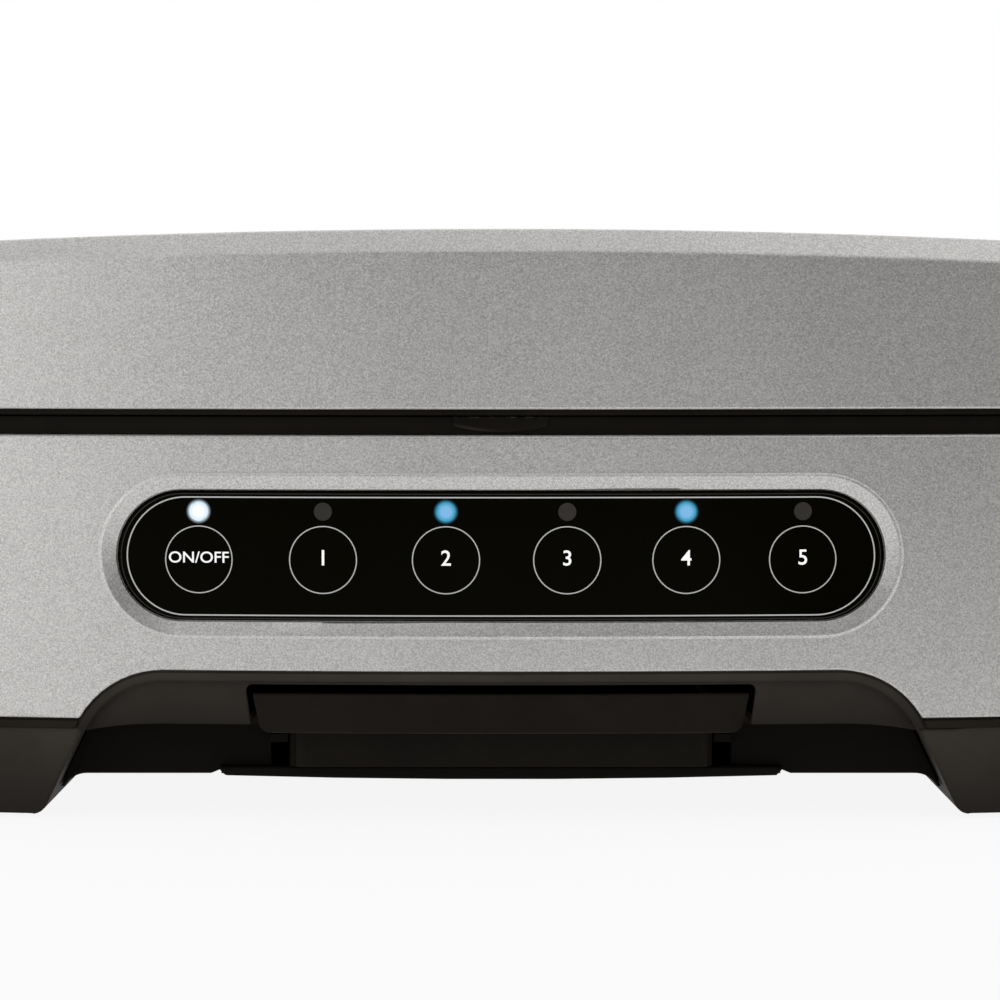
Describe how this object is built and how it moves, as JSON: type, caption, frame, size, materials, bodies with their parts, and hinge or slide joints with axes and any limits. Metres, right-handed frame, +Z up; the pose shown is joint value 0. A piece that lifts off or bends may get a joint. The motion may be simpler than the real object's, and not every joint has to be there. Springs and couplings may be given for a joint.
{
  "type": "electric contact grill",
  "caption": "Countertop electric contact grill: hinged lid over ribbed cooking plates, base with a black touch panel and a slide-out drip tray.",
  "frame": {"origin": "on the table, under the middle of the grill", "axes": "+Z up; the front with the touch panel faces -Y; +X to the right seen from the front"},
  "size_m": [0.39, 0.31, 0.1317],
  "materials": {
    "silver_paint": "satin silver metallic paint on moulded plastic",
    "black_moulding": "fine matt texture",
    "foot_rubber": "matt",
    "foam": "conductive foam",
    "panel_gloss": "gloss",
    "lamp_white": "lit white light guide",
    "lamp_blue": "lit blue light guide",
    "lamp_off": "smoked light guide",
    "plate_coating": "dark non-stick coating on cast aluminium",
    "heater_sheath": "heat-tinted sheath",
    "reflector_sheet": "bright sheet",
    "screw_steel": "zinc plated",
    "hinge_steel": "satin",
    "guide_plastic": "moulded",
    "sensor_ceramic": "matt",
    "board_laminate": "solder-mask green"
  },
  "bodies": {
    "base": {"base_housing": "silver_paint", "bottom_pan": "black_moulding", "front_visor": "black_moulding", "leg_front_left": "black_moulding", "leg_front_right": "black_moulding", "leg_rear_left": "black_moulding", "leg_rear_right": "black_moulding", "rubber_feet": "foot_rubber", "leg_screws": "screw_steel", "plate_surround": "black_moulding", "lower_plate": "plate_coating", "lower_plate_screws": "screw_steel", "lower_element": "heater_sheath", "lower_reflector": "reflector_sheet", "lower_reflector_screws": "screw_steel", "lower_sensor": "sensor_ceramic", "grease_chute": "reflector_sheet", "control_panel": "panel_gloss", "indicator_1": "lamp_white", "indicator_2": "lamp_off", "indicator_3": "lamp_blue", "indicator_4": "lamp_off", "indicator_5": "lamp_blue", "indicator_6": "lamp_off", "touch_pads": "foam", "touch_board": "board_laminate", "touch_board_screws": "screw_steel", "power_board": "board_laminate", "relay": "guide_plastic", "transformer": "guide_plastic", "terminal_block": "guide_plastic", "power_board_screws": "screw_steel", "cord_gland": "black_moulding", "hinge_guide_left": "guide_plastic", "hinge_guide_right": "guide_plastic", "guide_screws": "screw_steel", "tray_rail_left": "black_moulding", "tray_rail_right": "black_moulding"},
    "carriage": {"hinge_post_left": "hinge_steel", "hinge_post_right": "hinge_steel", "tie_bar": "hinge_steel"},
    "lid": {"lid_cover": "silver_paint", "lid_frame": "black_moulding", "frame_screws": "screw_steel", "upper_plate": "plate_coating", "upper_plate_screws": "screw_steel", "upper_element": "heater_sheath", "upper_reflector": "reflector_sheet", "upper_reflector_screws": "screw_steel", "upper_sensor": "sensor_ceramic", "lid_bracket_left": "hinge_steel", "lid_bracket_right": "hinge_steel", "bracket_screws": "screw_steel", "hinge_pin_left": "hinge_steel", "hinge_pin_right": "hinge_steel", "handle_left": "black_moulding", "handle_right": "black_moulding", "handle_screws": "screw_steel"},
    "tray": {"drip_tray": "black_moulding"}
  },
  "joints": [
    {"name": "hinge_float", "type": "slide", "parent": "base", "child": "carriage", "axis": [0, 0, 1], "range_m": [0, 0.02]},
    {"name": "lid_hinge", "type": "hinge", "parent": "carriage", "child": "lid", "pos_m": [0, 0.139, 0.1006], "axis": [-1, 0, 0], "range_deg": [0, 105]},
    {"name": "tray_slide", "type": "slide", "parent": "base", "child": "tray", "axis": [0, -1, 0], "range_m": [0, 0.17]}
  ]
}
